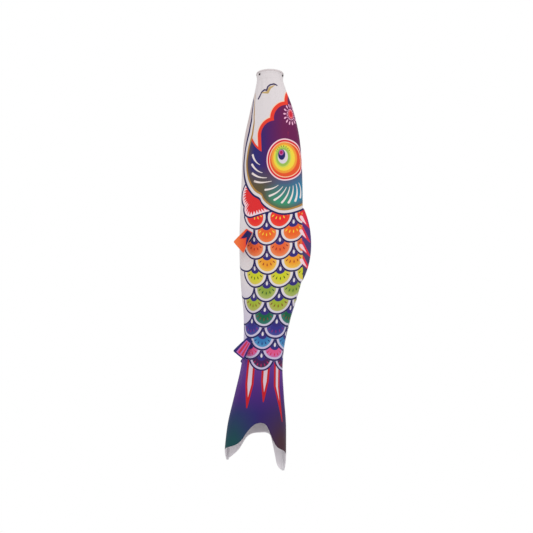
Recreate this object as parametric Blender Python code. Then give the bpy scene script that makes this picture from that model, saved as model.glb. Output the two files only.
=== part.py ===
"""Carp streamer: a small windsock in the shape of a carp, hung with its mouth up.

Two printed cloth panels are sewn together along the back and the belly.  The mouth
edge is turned in over a flat plastic hoop and pierced by three metal eyelets, four
loose fins are sewn on in pairs, and the tail end is cut to a fork and left open.

Frame: origin at the centre of the mouth rim, +Z up out of the mouth, +X the fish's
back, -X its belly, -Y its left side.  Metres.
"""

import math

import bmesh
import bpy
from mathutils import Matrix, Vector

SEAM_EDGE = 0.0009        # each panel edge stops this far from the middle of its seam
CLOTH = 0.0008            # wall of each cloth panel

# Down the body: depth below the rim, centre of the section, half width, half depth.
STATIONS = (
    (0.000, 0.0000, 0.0325, 0.0325),
    (0.022, 0.0002, 0.0318, 0.0318),
    (0.091, 0.0035, 0.0520, 0.0340),
    (0.172, 0.0040, 0.0700, 0.0350),
    (0.273, 0.0050, 0.0765, 0.0350),
    (0.430, 0.0025, 0.0792, 0.0350),
    (0.537, 0.0030, 0.0753, 0.0330),
    (0.608, -0.0044, 0.0605, 0.0310),
    (0.679, -0.0140, 0.0500, 0.0300),
    (0.740, -0.0203, 0.0493, 0.0300),
    (0.810, -0.0270, 0.0580, 0.0310),
    (0.892, -0.0330, 0.0700, 0.0325),
    (1.000, -0.0380, 0.0750, 0.0340),
)

# The hanging tail turns a little and its seams roll towards the right side.
TAIL_TURN = math.radians(20)
TAIL_ROLL = math.radians(27)
ELLIPSE = 2               # exponent of a plain oval section
TAIL_SQUARENESS = 0.8     # added to that exponent at the tail
TURN_FROM, TURN_TO = 0.56, 0.93

# Length of the cloth from the rim to the fork's edge, from belly seam to back seam.
FORKS = {
    "left": (
        (-1.00, 0.968), (-0.83, 0.954), (-0.44, 0.949), (-0.28, 0.938), (-0.14, 0.917),
        (0.06, 0.895), (0.21, 0.900), (0.34, 0.938), (0.44, 0.954), (0.83, 0.966),
        (1.00, 0.9945),
    ),
    "right": (
        (-1.00, 0.968), (-0.75, 0.954), (-0.52, 0.936), (-0.28, 0.905), (0.06, 0.895),
        (0.42, 0.902), (0.54, 0.931), (0.68, 0.975), (0.83, 0.990), (1.00, 0.9945),
    ),
}

# The back fin is cut in one with the panels and stands out along the back seam.
RIDGE_TOP, RIDGE_END, RIDGE_HEIGHT = 0.350, 0.547, 0.0228
RIDGE_FULLNESS = 0.8      # under 1 fills out the two ends of the fin's curve
RIDGE_WALL = 0.0016       # each panel stands this far off the seam along the fin's edge
RIDGE_ROOT = 0.003        # height at which the edge has its full wall

# The body bends in the middle, where the front and rear lengths of cloth meet.
BEND_DEPTH = 0.560
FRONT_END = 0.550
REAR_TOP = 0.555
NECK_LENGTH = 0.060       # the rear length's top is slimmer, so that it can swing
NECK_WIDTH, NECK_THICKNESS = 0.96, 0.80

FRONT_ROWS, REAR_ROWS, COLUMNS = 20, 15, 16
ROW_SPREAD = 1.35         # rows lie closer together towards the mouth

# Mouth: a band hoop in the fold of the hem, with the turned-in facing behind it.
HOOP_RADIUS, HOOP_WALL = 0.0310, 0.0008
HOOP_TOP, HOOP_FOOT = -0.0011, -0.0061
FACING_RADIUS, FACING_WALL, FACING_LENGTH = 0.0299, 0.0006, 0.024
FACING_LIP_RADIUS = 0.0312
MOUTH_SIDES = 48

# Eyelets through the hem, one on the back and one a third of the way round each side.
EYELET_DEPTH = 0.0095
EYELET_ANGLES = {"back": 0, "left": -120, "right": 120}
EYELET_BORE, EYELET_BARREL, EYELET_FLANGE = 0.0014, 0.0017, 0.0028
EYELET_FACE = 0.0327      # distance of the flange's underside from the hoop's axis
EYELET_FLANGE_THICKNESS, EYELET_FLANGE_EDGE = 0.0005, 0.0003
EYELET_END = 0.0280
WASHER_BORE, WASHER_OUTER, WASHER_INNER = 0.0020, 0.0290, 0.0285
HOLE_RADIUS, PUNCH_SPARE = 0.0021, 0.004
EYELET_SIDES = 20

# Loose fins of the left side: root top, root bottom, free end bottom, free end top.
FINS = {
    "pectoral": ((-0.0503, -0.0275, -0.4000), (-0.0319, -0.0335, -0.4145),
                 (-0.0457, -0.0576, -0.4745), (-0.0767, -0.0430, -0.4365)),
    "ventral": ((-0.0465, -0.0270, -0.6740), (-0.0325, -0.0315, -0.6880),
                (-0.0451, -0.0523, -0.7420), (-0.0768, -0.0447, -0.7125)),
}
FIN_THICKNESS = 0.0008
FIN_CORNER, FIN_CORNER_STEPS = 0.004, 4

SHARP_ANGLE = math.radians(40)


def clear_scene():
    for old in list(bpy.data.objects):
        bpy.data.objects.remove(old, do_unlink=True)


def plain_material(name, colour, roughness, metallic=0.0):
    material = bpy.data.materials.new(name)
    material.use_nodes = True
    shader = material.node_tree.nodes["Principled BSDF"]
    shader.inputs["Base Color"].default_value = (*colour, 1.0)
    shader.inputs["Roughness"].default_value = roughness
    shader.inputs["Metallic"].default_value = metallic
    material.diffuse_color = (*colour, 1.0)
    return material


def place(name, bm, material):
    """Write the bmesh to a new smooth-shaded object."""
    bmesh.ops.recalc_face_normals(bm, faces=bm.faces)
    mesh = bpy.data.meshes.new(name)
    bm.to_mesh(mesh)
    bm.free()
    mesh.shade_smooth()
    mesh.set_sharp_from_angle(angle=SHARP_ANGLE)
    obj = bpy.data.objects.new(name, mesh)
    obj.data.materials.append(material)
    bpy.context.scene.collection.objects.link(obj)
    return obj


def ease(value, low, high):
    """0 below low, 1 above high, smooth between."""
    share = min(max((value - low) / (high - low), 0.0), 1.0)
    return share * share * (3 - 2 * share)


def follow(points, at, column=1):
    """A column of the points as a smooth curve over their first column."""
    last = len(points) - 1
    i = max(k for k in range(last) if points[k][0] <= at or k == 0)

    def slope(k):
        low, high = max(k - 1, 0), min(k + 1, last)
        return (points[high][column] - points[low][column]) / (points[high][0] - points[low][0])

    step = points[i + 1][0] - points[i][0]
    u = (at - points[i][0]) / step
    start, end = points[i][column], points[i + 1][column]
    return (
        (2 * u**3 - 3 * u**2 + 1) * start
        + (u**3 - 2 * u**2 + u) * step * slope(i)
        + (3 * u**2 - 2 * u**3) * end
        + (u**3 - u**2) * step * slope(i + 1)
    )


def ridge_height(depth):
    """How far the back fin's edge stands out beyond the back of the body."""
    share = (depth - RIDGE_TOP) / (RIDGE_END - RIDGE_TOP)
    if not 0 < share < 1:
        return 0.0
    return RIDGE_HEIGHT * math.sin(math.pi * share) ** RIDGE_FULLNESS


def signed_power(value, exponent):
    return math.copysign(abs(value) ** exponent, value)


def skin(depth, across, side, neck=0.0):
    """A point of a panel's outer face.

    across runs from -1 at the belly seam to 1 at the back seam, side is -1 for the
    left panel and 1 for the right, and neck is 1 where the rear length is slimmest.
    """
    centre = follow(STATIONS, depth, 1)
    half_width = follow(STATIONS, depth, 2) * (1 - neck * (1 - NECK_WIDTH))
    half_depth = follow(STATIONS, depth, 3) * (1 - neck * (1 - NECK_THICKNESS))
    tail = ease(depth, TURN_FROM, TURN_TO)
    squareness = (ELLIPSE + TAIL_SQUARENESS * tail) / ELLIPSE
    angle = signed_power(across, squareness) * (math.pi / 2 - side * TAIL_ROLL * tail)
    x = half_width * signed_power(math.sin(angle), 1 / squareness)
    y = side * half_depth * signed_power(math.cos(angle), 1 / squareness)
    if across == 1:
        ridge = ridge_height(depth)
        x += ridge
        y += side * RIDGE_WALL * min(ridge / RIDGE_ROOT, 1.0)
    if abs(across) == 1:
        y += side * SEAM_EDGE
    turned = Matrix.Rotation(TAIL_TURN * tail, 3, "Z") @ Vector((x, y, 0))
    return Vector((centre + turned.x, turned.y, -depth))


def panel(name, side, rows, depth_of, material, neck_of=lambda depth: 0.0):
    """A length of one cloth panel: a flat grid shaped to the body, given its wall inwards."""
    bm = bmesh.new()
    bmesh.ops.create_grid(bm, x_segments=COLUMNS, y_segments=rows, size=1)
    for vert in bm.verts:
        across = round(vert.co.x, 5)
        depth = depth_of((1 - round(vert.co.y, 5)) / 2, across)
        vert.co = skin(depth, across, side, neck_of(depth))
    obj = place(name, bm, material)
    middle = obj.data.polygons[len(obj.data.polygons) // 2]
    if middle.normal.y * side < 0:
        obj.data.flip_normals()
    wall = obj.modifiers.new("cloth", "SOLIDIFY")
    wall.thickness = CLOTH
    wall.offset = -1
    wall.use_even_offset = True
    return obj


def turned(name, profile, sides, material):
    """A closed profile of (radius, height) points spun round the Z axis."""
    bm = bmesh.new()
    loop = [bm.verts.new((radius, 0, height)) for radius, height in profile]
    edges = [bm.edges.new((loop[k - 1], loop[k])) for k in range(len(loop))]
    bmesh.ops.spin(bm, geom=loop + edges, axis=(0, 0, 1), cent=(0, 0, 0),
                   angle=2 * math.pi, steps=sides, use_merge=True)
    bmesh.ops.remove_doubles(bm, verts=bm.verts, dist=1e-6)
    return place(name, bm, material)


def point_outwards(obj, angle_degrees):
    """Turn a piece made on the Z axis to lie on a radius of the mouth."""
    angle = math.radians(angle_degrees)
    obj.matrix_world = (
        Matrix.Translation((0, 0, -EYELET_DEPTH))
        @ Matrix.Rotation(angle, 4, "Z")
        @ Matrix.Rotation(math.pi / 2, 4, "Y")
    )


def hole_cutter(angle_name):
    """A rod across the hem where an eyelet's hole is punched."""
    length = EYELET_FACE - EYELET_END + PUNCH_SPARE
    bm = bmesh.new()
    bmesh.ops.create_cone(bm, cap_ends=True, segments=EYELET_SIDES, radius1=HOLE_RADIUS,
                          radius2=HOLE_RADIUS, depth=length)
    bmesh.ops.translate(bm, verts=bm.verts, vec=(0, 0, (EYELET_FACE + EYELET_END) / 2))
    mesh = bpy.data.meshes.new("punch_" + angle_name)
    bm.to_mesh(mesh)
    bm.free()
    punch = bpy.data.objects.new("punch_" + angle_name, mesh)
    bpy.context.scene.collection.objects.link(punch)
    point_outwards(punch, EYELET_ANGLES[angle_name])
    punch.hide_render = True
    punch.display_type = "WIRE"
    return punch


def cut(obj, punch):
    hole = obj.modifiers.new("hole", "BOOLEAN")
    hole.operation = "DIFFERENCE"
    hole.solver = "EXACT"
    hole.object = punch


def make_mouth(plastic, facing_cloth, metal):
    """Hoop, turned-in facing, eyelets and their washers."""
    inner = HOOP_RADIUS - HOOP_WALL
    turned("mouth_hoop", [(inner, HOOP_FOOT), (HOOP_RADIUS, HOOP_FOOT),
                          (HOOP_RADIUS, HOOP_TOP), (inner, HOOP_TOP)], MOUTH_SIDES, plastic)
    face_inner = FACING_RADIUS - FACING_WALL
    facing = turned("mouth_facing", [
        (face_inner, -FACING_LENGTH), (FACING_RADIUS, -FACING_LENGTH),
        (FACING_RADIUS, -FACING_WALL), (FACING_LIP_RADIUS, -FACING_WALL),
        (FACING_LIP_RADIUS, 0), (face_inner, 0)], MOUTH_SIDES, facing_cloth)
    punches = {}
    for where, angle in EYELET_ANGLES.items():
        punches[where] = hole_cutter(where)
        cut(facing, punches[where])
        eyelet = turned("eyelet_" + where, [
            (EYELET_BORE, EYELET_END), (EYELET_BARREL, EYELET_END),
            (EYELET_BARREL, EYELET_FACE), (EYELET_FLANGE, EYELET_FACE),
            (EYELET_FLANGE - EYELET_FLANGE_EDGE, EYELET_FACE + EYELET_FLANGE_THICKNESS),
            (EYELET_BORE, EYELET_FACE + EYELET_FLANGE_THICKNESS)], EYELET_SIDES, metal)
        point_outwards(eyelet, angle)
        washer = turned("eyelet_washer_" + where, [
            (WASHER_BORE, WASHER_INNER), (EYELET_FLANGE, WASHER_INNER),
            (EYELET_FLANGE, WASHER_OUTER), (WASHER_BORE, WASHER_OUTER)],
            EYELET_SIDES, metal)
        point_outwards(washer, angle)
    return punches


def make_bend():
    """The joint in the middle of the body, an empty that the rear pieces hang from."""
    bend = bpy.data.objects.new("body_bend", None)
    bend.location = (0, 0, -BEND_DEPTH)
    bpy.context.scene.collection.objects.link(bend)
    return bend


def hang_from(obj, bend):
    """Parent a piece to the bend without moving it."""
    obj.parent = bend
    obj.matrix_parent_inverse = Matrix.Translation(-bend.location)


def make_panels(punches, bend, cloth):
    """The four lengths of body cloth, left and right, front and rear."""

    def front_depth(share, across):
        return share**ROW_SPREAD * FRONT_END

    def rear_depth(fork):
        return lambda share, across: REAR_TOP + share * (follow(fork, across) - REAR_TOP)

    def rear_neck(depth):
        return 1 - ease(depth, REAR_TOP, REAR_TOP + NECK_LENGTH)

    for name, side in (("left", -1), ("right", 1)):
        front = panel("panel_front_" + name, side, FRONT_ROWS, front_depth, cloth)
        cut(front, punches[name])
        cut(front, punches["back"])
        rear = panel("panel_rear_" + name, side, REAR_ROWS, rear_depth(FORKS[name]), cloth,
                     rear_neck)
        hang_from(rear, bend)


def on_side(corner, side):
    """A point of the left side, or the same point on the right side of the turned body."""
    point = Vector(corner)
    if side < 0:
        return point
    centre = Vector((follow(STATIONS, -point.z, 1), 0, point.z))
    turn = Matrix.Rotation(TAIL_TURN * ease(-point.z, TURN_FROM, TURN_TO), 3, "Z")
    local = turn.inverted() @ (point - centre)
    local.y = -local.y
    return centre + turn @ local


def make_fin(name, corners, side, material):
    """A flat four-cornered flap with rounded free corners, its origin on its root line."""
    points = [on_side(corner, side) for corner in corners]
    root = (points[0] + points[1]) / 2
    bm = bmesh.new()
    bm.faces.new([bm.verts.new(point - root) for point in points])
    bm.verts.ensure_lookup_table()
    bmesh.ops.bevel(bm, geom=[bm.verts[2], bm.verts[3]], offset=FIN_CORNER,
                    segments=FIN_CORNER_STEPS, profile=0.5, affect="VERTICES", material=-1)
    obj = place(name, bm, material)
    obj.location = root
    wall = obj.modifiers.new("cloth", "SOLIDIFY")
    wall.thickness = FIN_THICKNESS
    wall.offset = 0
    return obj


def make_fins(bend, cloth):
    for kind, corners in FINS.items():
        for name, side in (("left", -1), ("right", 1)):
            fin = make_fin(kind + "_fin_" + name, corners, side, cloth)
            if kind == "ventral":
                hang_from(fin, bend)


def build():
    clear_scene()
    plastic = plain_material("hoop_plastic", (0.82, 0.82, 0.80), 0.45)
    facing_cloth = plain_material("facing_cloth", (0.80, 0.79, 0.80), 0.85)
    print_cloth = plain_material("printed_cloth", (0.75, 0.30, 0.28), 0.75)
    fin_cloth = plain_material("fin_cloth", (0.86, 0.42, 0.20), 0.75)
    metal = plain_material("eyelet_metal", (0.10, 0.10, 0.11), 0.40, 1.0)
    punches = make_mouth(plastic, facing_cloth, metal)
    bend = make_bend()
    make_panels(punches, bend, print_cloth)
    make_fins(bend, fin_cloth)


build()
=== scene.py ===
"""Looks of the carp streamer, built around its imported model."""

import math

import bmesh
import bpy
from mathutils import Matrix, Vector


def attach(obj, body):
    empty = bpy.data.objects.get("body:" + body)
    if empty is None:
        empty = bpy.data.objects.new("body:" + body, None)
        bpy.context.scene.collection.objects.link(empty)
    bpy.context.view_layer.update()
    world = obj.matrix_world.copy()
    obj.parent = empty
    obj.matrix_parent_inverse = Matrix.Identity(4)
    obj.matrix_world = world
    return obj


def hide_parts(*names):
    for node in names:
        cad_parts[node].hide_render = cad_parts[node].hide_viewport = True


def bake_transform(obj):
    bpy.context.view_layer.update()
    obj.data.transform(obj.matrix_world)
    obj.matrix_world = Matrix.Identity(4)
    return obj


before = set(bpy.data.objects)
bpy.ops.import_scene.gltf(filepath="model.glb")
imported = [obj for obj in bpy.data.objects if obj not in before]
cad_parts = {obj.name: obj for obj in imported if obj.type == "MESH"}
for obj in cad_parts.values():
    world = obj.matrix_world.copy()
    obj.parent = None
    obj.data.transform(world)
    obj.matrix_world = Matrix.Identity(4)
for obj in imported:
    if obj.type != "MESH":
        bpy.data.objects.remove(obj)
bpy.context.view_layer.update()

# ---------------------------------------------------------------------------
# Body cloth
# Two panels of thin woven polyester, one for each side of the fish, cut to its outline
# with the back fin in one piece, and sewn to each other along the back and the belly.
# ---------------------------------------------------------------------------

SIDES = {"left": -1, "right": 1}

MOUTH_RADIUS = 0.0325
# Depth below the rim, centre of the section, half width, half depth.
STATIONS = (
    (0.000, 0.0000, MOUTH_RADIUS, MOUTH_RADIUS),
    (0.022, 0.0002, 0.0318, 0.0318),
    (0.091, 0.0035, 0.0520, 0.0340),
    (0.172, 0.0040, 0.0700, 0.0350),
    (0.273, 0.0050, 0.0765, 0.0350),
    (0.430, 0.0025, 0.0792, 0.0350),
    (0.537, 0.0030, 0.0753, 0.0330),
    (0.608, -0.0044, 0.0605, 0.0310),
    (0.679, -0.0140, 0.0500, 0.0300),
    (0.740, -0.0203, 0.0493, 0.0300),
    (0.810, -0.0270, 0.0580, 0.0310),
    (0.892, -0.0330, 0.0700, 0.0325),
    (1.000, -0.0380, 0.0750, 0.0340),
)
# How long each panel is cut, from its belly seam (-1) to its back seam (1).
FORKS = {
    -1: (
        (-1.00, 0.968), (-0.83, 0.954), (-0.44, 0.949), (-0.30, 0.938), (-0.19, 0.917),
        (-0.09, 0.902), (0.01, 0.895), (0.19, 0.900), (0.34, 0.938), (0.44, 0.954), (0.83, 0.966),
        (1.00, 0.9945),
    ),
    1: (
        (-1.00, 0.968), (-0.75, 0.954), (-0.52, 0.936), (-0.28, 0.905), (0.06, 0.895),
        (0.42, 0.902), (0.54, 0.931), (0.68, 0.975), (0.83, 0.990), (1.00, 0.9945),
    ),
}
TAIL_TURN, TAIL_ROLL, TAIL_SQUARENESS = math.radians(20), math.radians(27), 0.8
TURN_FROM, TURN_TO = 0.56, 0.93
RIDGE_TOP, RIDGE_END, RIDGE_HEIGHT, RIDGE_ROOT = 0.350, 0.547, 0.0228, 0.90
CLOTH = 0.00028
SEAM_GAP = 0.00012
PANEL_ROWS, PANEL_COLUMNS = 330, 72


def ease(value, low, high):
    """0 up to low and 1 from high on, with a smooth rise between."""
    share = min(max((value - low) / (high - low), 0.0), 1.0)
    return share * share * (3 - 2 * share)


def follow(points, at, column=1):
    """A smooth curve through the rows of points, read at a first-column value."""
    last = len(points) - 1
    i = max(k for k in range(last) if points[k][0] <= at or k == 0)

    def slope(k):
        low, high = max(k - 1, 0), min(k + 1, last)
        return (points[high][column] - points[low][column]) / (points[high][0] - points[low][0])

    step = points[i + 1][0] - points[i][0]
    u = (at - points[i][0]) / step
    start, end = points[i][column], points[i + 1][column]
    return (
        (2 * u**3 - 3 * u**2 + 1) * start
        + (u**3 - 2 * u**2 + u) * step * slope(i)
        + (3 * u**2 - 2 * u**3) * end
        + (u**3 - u**2) * step * slope(i + 1)
    )


def ridge_height(depth):
    """How far the back fin, cut in one with the panels, stands above the back."""
    share = (depth - RIDGE_TOP) / (RIDGE_END - RIDGE_TOP)
    if not 0 < share < 1:
        return 0.0
    return RIDGE_HEIGHT * math.sin(math.pi * share) ** 0.8


def signed_power(value, exponent):
    return math.copysign(abs(value) ** exponent, value)


def body_section(depth):
    """Centre, half width, half depth and how far the tail's turn has come, at a depth."""
    return (*(follow(STATIONS, depth, k) for k in (1, 2, 3)), ease(depth, TURN_FROM, TURN_TO))


def body_point(depth, across, side, inset=0.0):
    """A point of a panel, across running from -1 at the belly seam to 1 at the back seam."""
    centre, half_width, half_depth, tail = body_section(depth)
    half_width -= inset
    half_depth -= inset
    squareness = 1 + TAIL_SQUARENESS * tail / 2

    def on_round(share):
        angle = signed_power(share, squareness) * (math.pi / 2 - side * TAIL_ROLL * tail)
        return (half_width * signed_power(math.sin(angle), 1 / squareness),
                side * half_depth * signed_power(math.cos(angle), 1 / squareness))

    x, y = on_round(across)
    ridge = ridge_height(depth)
    if across > RIDGE_ROOT and ridge > 0:
        root_x, root_y = on_round(RIDGE_ROOT)
        out = (across - RIDGE_ROOT) / (1 - RIDGE_ROOT)
        share = ease(ridge, 0, 0.005)
        x += share * (root_x + (half_width + ridge - root_x) * out - x)
        y += share * (root_y * (1 - out) ** 1.6 + side * 0.0004 - y)
    y += side * SEAM_GAP
    turned = Matrix.Rotation(TAIL_TURN * tail, 3, "Z") @ Vector((x, y, 0))
    return Vector((centre + turned.x, turned.y, -depth))


def slack(depth, across, side):
    """How far the cloth stands in or out of its smooth shape: gathers, folds and flutes."""
    below_hem = ease(depth, 0.020, 0.032) * (1 - ease(depth, 0.045, 0.120))
    gathers = 0.0007 * below_hem * math.sin(across * 24 + 2.0 * side)
    folds = 0.0010 * ease(depth, 0.06, 0.20) * (1 - ease(depth, 0.86, 0.96)) * (
        math.sin(9.0 * across + 7.0 * depth + side)
        + 0.6 * math.sin(15.0 * across - 11.0 * depth + 2.1 * side)
    )
    waist = math.exp(-(((depth - 0.60) / 0.075) ** 2))
    crease_shade = 0.0010 * waist * math.sin(95 * depth - 6.0 * across + side) * (0.5 + 0.5 * across)
    flutes = 0.0022 * ease(depth, 0.76, 0.93) * math.sin(6.6 * across + 0.8 * side)
    at_seams = 1 - abs(across) ** 6
    return (gathers + folds + crease_shade + flutes) * at_seams


def cloth_object(name, bm):
    mesh = bpy.data.meshes.new(name)
    bm.to_mesh(mesh)
    bm.free()
    mesh.shade_smooth()
    piece = bpy.data.objects.new(name, mesh)
    bpy.context.scene.collection.objects.link(piece)
    return piece


def cut_measures(side, columns):
    """How far each column of the cloth lies from its middle, at depths 10 mm apart."""
    table = []
    for k in range(102):
        line = [body_point(k / 100, across, side) for across in columns]
        run = [0.0]
        for before, after in zip(line, line[1:]):
            run.append(run[-1] + (after - before).length)
        table.append([along - run[len(run) // 2] for along in run])
    return table


def punch(bm, centre, direction, radius):
    """Cut an eight-sided hole through the sheet round a point, along a direction."""
    across = direction.orthogonal().normalized()
    for k in range(8):
        out = Matrix.Rotation(k * math.pi / 4, 3, direction) @ across
        near = [f for f in bm.faces if (f.calc_center_median() - centre).length < 0.007]
        edges, verts = ({e for f in near for e in f.edges}, {v for f in near for v in f.verts})
        bmesh.ops.bisect_plane(bm, geom=near + list(edges) + list(verts), dist=1e-7,
                               plane_co=centre + out * radius, plane_no=out)
    inside = []
    for face in bm.faces:
        apart = face.calc_center_median() - centre
        if (apart - direction * apart.dot(direction)).length < radius and apart.length < 0.01:
            inside.append(face)
    bmesh.ops.delete(bm, geom=inside, context="FACES")


# Which way each eyelet faces, turned from the back of the fish.
EYELETS = {"back": 0.0, "left": math.radians(-120), "right": math.radians(120)}
EYELET_DEPTH, EYELET_HOLE = 0.0095, 0.0021


def eyelet_place(where):
    """Middle of an eyelet on the outside of the hem, and the direction it faces."""
    out = Vector((math.cos(EYELETS[where]), math.sin(EYELETS[where]), 0))
    return out * MOUTH_RADIUS + Vector((0, 0, -EYELET_DEPTH)), out


def sew_panel(name, side):
    """A flat grid laid on the body, with the cut cloth's own measures as its UV map."""
    bm = bmesh.new()
    bmesh.ops.create_grid(bm, x_segments=PANEL_COLUMNS, y_segments=PANEL_ROWS, size=1)
    columns = sorted({round(vert.co.x, 5) for vert in bm.verts})
    measures = cut_measures(side, columns)
    place = {}
    for vert in bm.verts:
        across, share = round(vert.co.x, 5), (1 - vert.co.y) / 2
        place[vert] = (across, share * follow(FORKS[side], across))
        vert.co = body_point(place[vert][1], across, side)
    bm.normal_update()
    if sum(f.normal.y * f.calc_area() for f in bm.faces) * side < 0:
        bmesh.ops.reverse_faces(bm, faces=bm.faces)
        bm.normal_update()
    moves = {v: v.normal * slack(place[v][1], place[v][0], side) for v in bm.verts}
    layer = bm.loops.layers.uv.new("cut")
    for face in bm.faces:
        for loop in face.loops:
            across, depth = place[loop.vert]
            column = columns.index(across)
            step = int(depth * 100)
            above, below = measures[step][column], measures[step + 1][column]
            loop[layer].uv = (above + (below - above) * (depth * 100 - step), depth)
    for vert, move in moves.items():
        vert.co += move
    for where in ("back", name):
        punch(bm, *eyelet_place(where), EYELET_HOLE)
    return cloth_object("body_panel_" + name, bm)


class Measure:
    """A number known all over the cloth, kept as a node's output, with plain arithmetic."""

    def __init__(self, tree, socket):
        self.tree = tree
        self.socket = socket

    def work(self, operation, *terms, clamp=False):
        node = self.tree.nodes.new("ShaderNodeMath")
        node.operation = operation
        node.use_clamp = clamp
        for socket, term in zip(node.inputs, terms):
            if isinstance(term, Measure):
                self.tree.links.new(term.socket, socket)
            else:
                socket.default_value = term
        return Measure(self.tree, node.outputs[0])

    def __add__(self, other):
        return self.work("ADD", self, other)

    def __sub__(self, other):
        return self.work("SUBTRACT", self, other)

    def __rsub__(self, other):
        return self.work("SUBTRACT", other, self)

    def __mul__(self, other):
        return self.work("MULTIPLY", self, other)

    def __truediv__(self, other):
        return self.work("DIVIDE", self, other)

    __radd__ = __add__

    def least(self, other):
        return self.work("MINIMUM", self, other)

    def most(self, other):
        return self.work("MAXIMUM", self, other)

    def under(self, edge, blur=0.0005):
        """1 where the number is under the edge and 0 where it is over, with a fine blur."""
        return self.work("MULTIPLY_ADD", edge - self, 1 / blur, 0.5, clamp=True)

    def over(self, edge, blur=0.0005):
        return self.work("MULTIPLY_ADD", self - edge, 1 / blur, 0.5, clamp=True)

    def between(self, low, high, blur=0.0005):
        return self.over(low, blur) * self.under(high, blur)


DYE_STRENGTH, SCREEN_GAMMA = 0.86, 2.2


def rgb(red, green, blue):
    """A dye as it looks in daylight, 0 to 255, turned to the shader's linear light."""
    return tuple(DYE_STRENGTH * (c / 255) ** SCREEN_GAMMA for c in (red, green, blue)) + (1.0,)


class Print:
    """A cloth's print, laid down layer over layer in the order that it is screened."""

    def __init__(self, tree, ground, raised=0.0):
        self.tree = tree
        chart = tree.nodes.new("ShaderNodeUVMap")
        chart.uv_map = "cut"
        self.at = self.vector("ADD", chart.outputs["UV"], (0.0, raised, 0.0)).outputs[0]
        split = tree.nodes.new("ShaderNodeSeparateXYZ")
        tree.links.new(self.at, split.inputs[0])
        self.across = Measure(tree, split.outputs["X"])
        self.down = Measure(tree, split.outputs["Y"])
        self.colour = ground

    def vector(self, operation, *terms):
        node = self.tree.nodes.new("ShaderNodeVectorMath")
        node.operation = operation
        for socket, term in zip(node.inputs, terms):
            if isinstance(term, tuple):
                socket.default_value = term
            else:
                self.tree.links.new(term, socket)
        return node

    def blend(self, first, second, share):
        """A mix of two dyes, each of which is a colour or a node's colour output."""
        mix = self.tree.nodes.new("ShaderNodeMix")
        mix.data_type = "RGBA"
        self.tree.links.new(share.socket, mix.inputs["Factor"])
        for name, value in (("A", first), ("B", second)):
            socket = next(s for s in mix.inputs if s.name == name and s.type == "RGBA")
            if isinstance(value, tuple):
                socket.default_value = value
            else:
                self.tree.links.new(value, socket)
        return next(s for s in mix.outputs if s.type == "RGBA")

    def lay(self, dye, where):
        """Lay a dye over what is printed so far, where the mask is 1."""
        self.colour = self.blend(self.colour, dye, where)

    def steps(self, share, stops, smooth=False):
        """A colour picked by a number from 0 to 1, in steps or smoothly."""
        ramp = self.tree.nodes.new("ShaderNodeValToRGB")
        ramp.color_ramp.interpolation = "LINEAR" if smooth else "CONSTANT"
        elements = ramp.color_ramp.elements
        while len(elements) < len(stops):
            elements.new(1.0)
        for element, (position, colour) in zip(elements, stops):
            element.position = position
            element.color = colour
        self.tree.links.new(share.socket, ramp.inputs[0])
        return ramp.outputs[0]

    def oval(self, centre, radii):
        """1 on an oval's edge, growing outwards; with equal radii times r it is a distance."""
        moved = self.vector("SUBTRACT", self.at, (*centre, 0.0)).outputs[0]
        scaled = self.vector("DIVIDE", moved, (*radii, 1.0)).outputs[0]
        return Measure(self.tree, self.vector("LENGTH", scaled).outputs["Value"])

    def disc(self, centre, radius):
        """Distance outside a circle, negative inside."""
        return Measure(self.tree, self.vector("DISTANCE", self.at, (*centre, 0.0))
                       .outputs["Value"]) - radius

    def stroke(self, start, end, thick, thin, bend=0.0):
        """Distance outside a brush stroke that narrows from start to end."""
        run = (end[0] - start[0], end[1] - start[1], 0.0)
        length = math.hypot(run[0], run[1])
        moved = self.vector("SUBTRACT", self.at, (*start, 0.0)).outputs[0]
        dot = Measure(self.tree, self.vector("DOT_PRODUCT", moved, run).outputs["Value"])
        share = dot.work("MULTIPLY", dot, 1 / length**2, clamp=True)
        if bend:
            bow = self.vector("SCALE", (-run[1] / length, run[0] / length, 0.0))
            self.tree.links.new((share * (1.0 - share) * (4 * bend)).socket, bow.inputs["Scale"])
            moved = self.vector("SUBTRACT", moved, bow.outputs[0]).outputs[0]
        scale = self.vector("SCALE", run)
        self.tree.links.new(share.socket, scale.inputs["Scale"])
        gap = Measure(self.tree, self.vector("DISTANCE", moved, scale.outputs[0]).outputs["Value"])
        return gap - share.work("MULTIPLY_ADD", share, thin - thick, thick)

    def curve(self, share, points):
        """A smooth curve through (0 to 1, value) points, read at a number from 0 to 1."""
        low = min(value for _, value in points)
        high = max(value for _, value in points)
        node = self.tree.nodes.new("ShaderNodeFloatCurve")
        line = node.mapping.curves[0]
        while len(line.points) < len(points):
            line.points.new(0.5, 0.5)
        for point, (position, value) in zip(line.points, points):
            point.location = (position, (value - low) / (high - low))
            point.handle_type = "AUTO"
        node.mapping.update()
        self.tree.links.new(share.socket, node.inputs["Value"])
        return Measure(self.tree, node.outputs[0]) * (high - low) + low


NAVY, DEEP_NAVY = rgb(52, 44, 120), rgb(34, 28, 88)
OFF_WHITE, PINK_WHITE = rgb(226, 218, 220), rgb(248, 214, 222)
RED, SCARLET, GOLD = rgb(226, 45, 48), rgb(236, 62, 44), rgb(176, 132, 66)

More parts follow.
